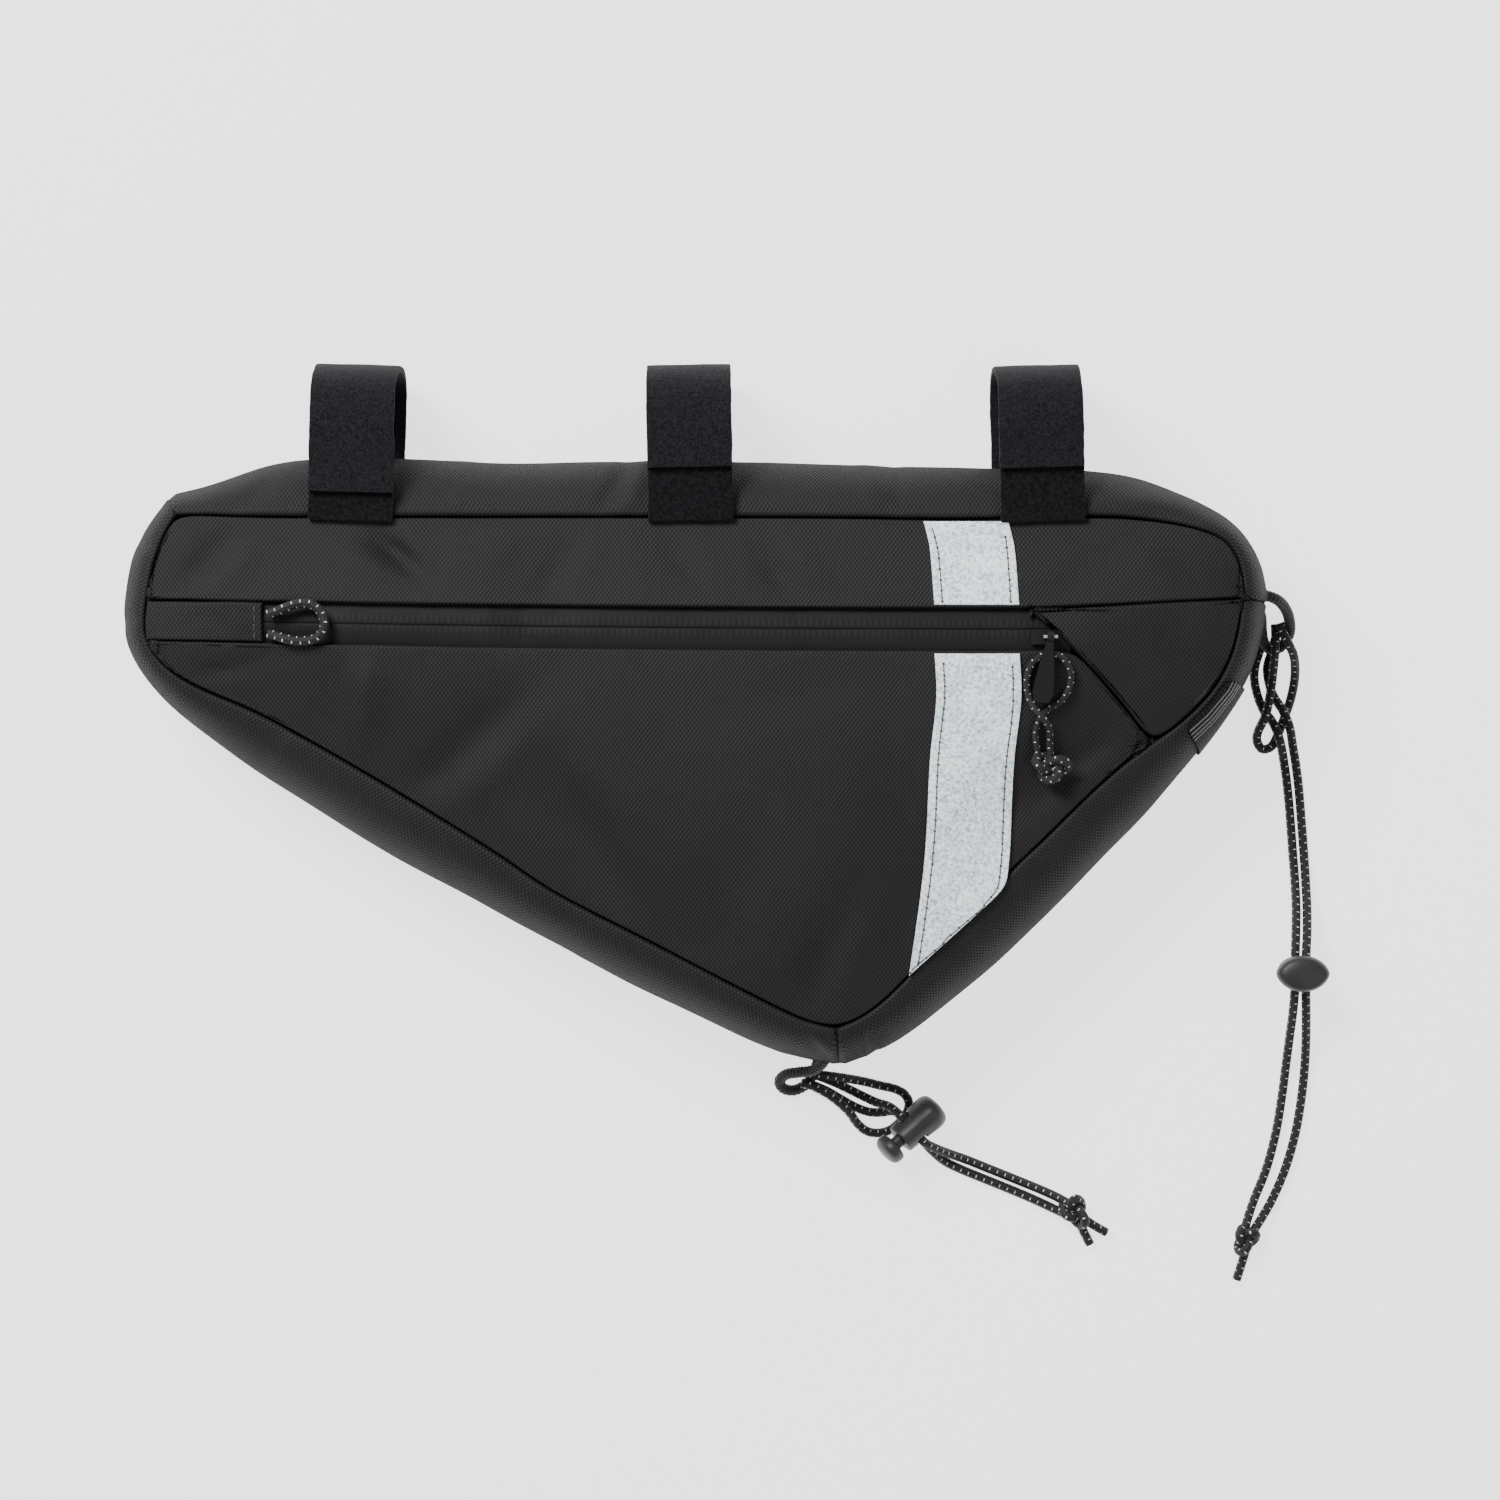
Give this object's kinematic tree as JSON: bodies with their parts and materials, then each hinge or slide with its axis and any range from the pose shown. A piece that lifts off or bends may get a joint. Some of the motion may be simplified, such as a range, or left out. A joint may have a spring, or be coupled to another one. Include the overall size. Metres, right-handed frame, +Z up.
{
  "type": "bicycle frame bag",
  "caption": "Wedge-shaped zipped fabric bag that hangs inside a bicycle frame on hook-and-loop straps, with elastic ties, cord locks and a swinging zip puller.",
  "frame": {"origin": "on the floor under the middle of the bag, free cords left out", "axes": "+Z up from the back panel to the zipped front, +Y to the straps on the long edge, +X to the blunt end"},
  "size_m": [0.3628, 0.278, 0.0592],
  "materials": {
    "coated_cloth": "fine woven, coated, satin",
    "zip_film": "smooth matt film",
    "hook_tape": "hook tape, matt",
    "loop_tape": "napped loop tape, matt",
    "reflective_tape": "retroreflective, satin",
    "webbing": "ribbed woven",
    "cord": "braided with pale flecks",
    "moulded_plastic": "moulded, satin",
    "slider_metal": "satin"
  },
  "bodies": {
    "bag": {"front_upper_panel": "coated_cloth", "front_lower_panel": "coated_cloth", "corner_panel": "coated_cloth", "zip_garage": "coated_cloth", "back_panel": "coated_cloth", "gusset_top": "coated_cloth", "gusset_right": "coated_cloth", "gusset_left": "coated_cloth", "zip_tape_upper": "zip_film", "zip_tape_lower": "zip_film", "zip_slider": "slider_metal", "stop_cord": "cord", "tape_upper": "reflective_tape", "tape_lower": "reflective_tape", "strap_left": "loop_tape", "strap_middle": "loop_tape", "strap_right": "loop_tape", "tab_left": "hook_tape", "tab_middle": "hook_tape", "tab_right": "hook_tape", "webbing_keeper": "webbing", "anchor_right": "webbing", "anchor_bottom": "webbing", "right_cord_loop": "cord", "right_cord_outer": "cord", "right_cord_inner": "cord", "bottom_cord_loop": "cord", "bottom_cord_outer": "cord", "bottom_cord_inner": "cord", "right_lock_barrel": "moulded_plastic", "bottom_lock_barrel": "moulded_plastic", "right_knot": "cord", "bottom_knot": "cord"},
    "puller": {"zip_puller": "moulded_plastic", "pull_cord": "cord", "pull_knot": "cord"},
    "right_button": {"right_lock_button": "moulded_plastic"},
    "bottom_button": {"bottom_lock_button": "moulded_plastic"}
  },
  "joints": [
    {"name": "puller_swing", "type": "hinge", "parent": "bag", "child": "puller", "pos_m": [0.1044, 0.02308, 0.05748], "axis": [-1, 0, 0], "range_deg": [0, 150]},
    {"name": "right_button_press", "type": "slide", "parent": "bag", "child": "right_button", "axis": [0, 0, 1], "range_m": [0, 0.002], "stiffness_N_per_m": 300, "springref_m": -0.004},
    {"name": "bottom_button_press", "type": "slide", "parent": "bag", "child": "bottom_button", "axis": [0.7319, 0.659, -0.1736], "range_m": [0, 0.002], "stiffness_N_per_m": 300, "springref_m": -0.004}
  ]
}
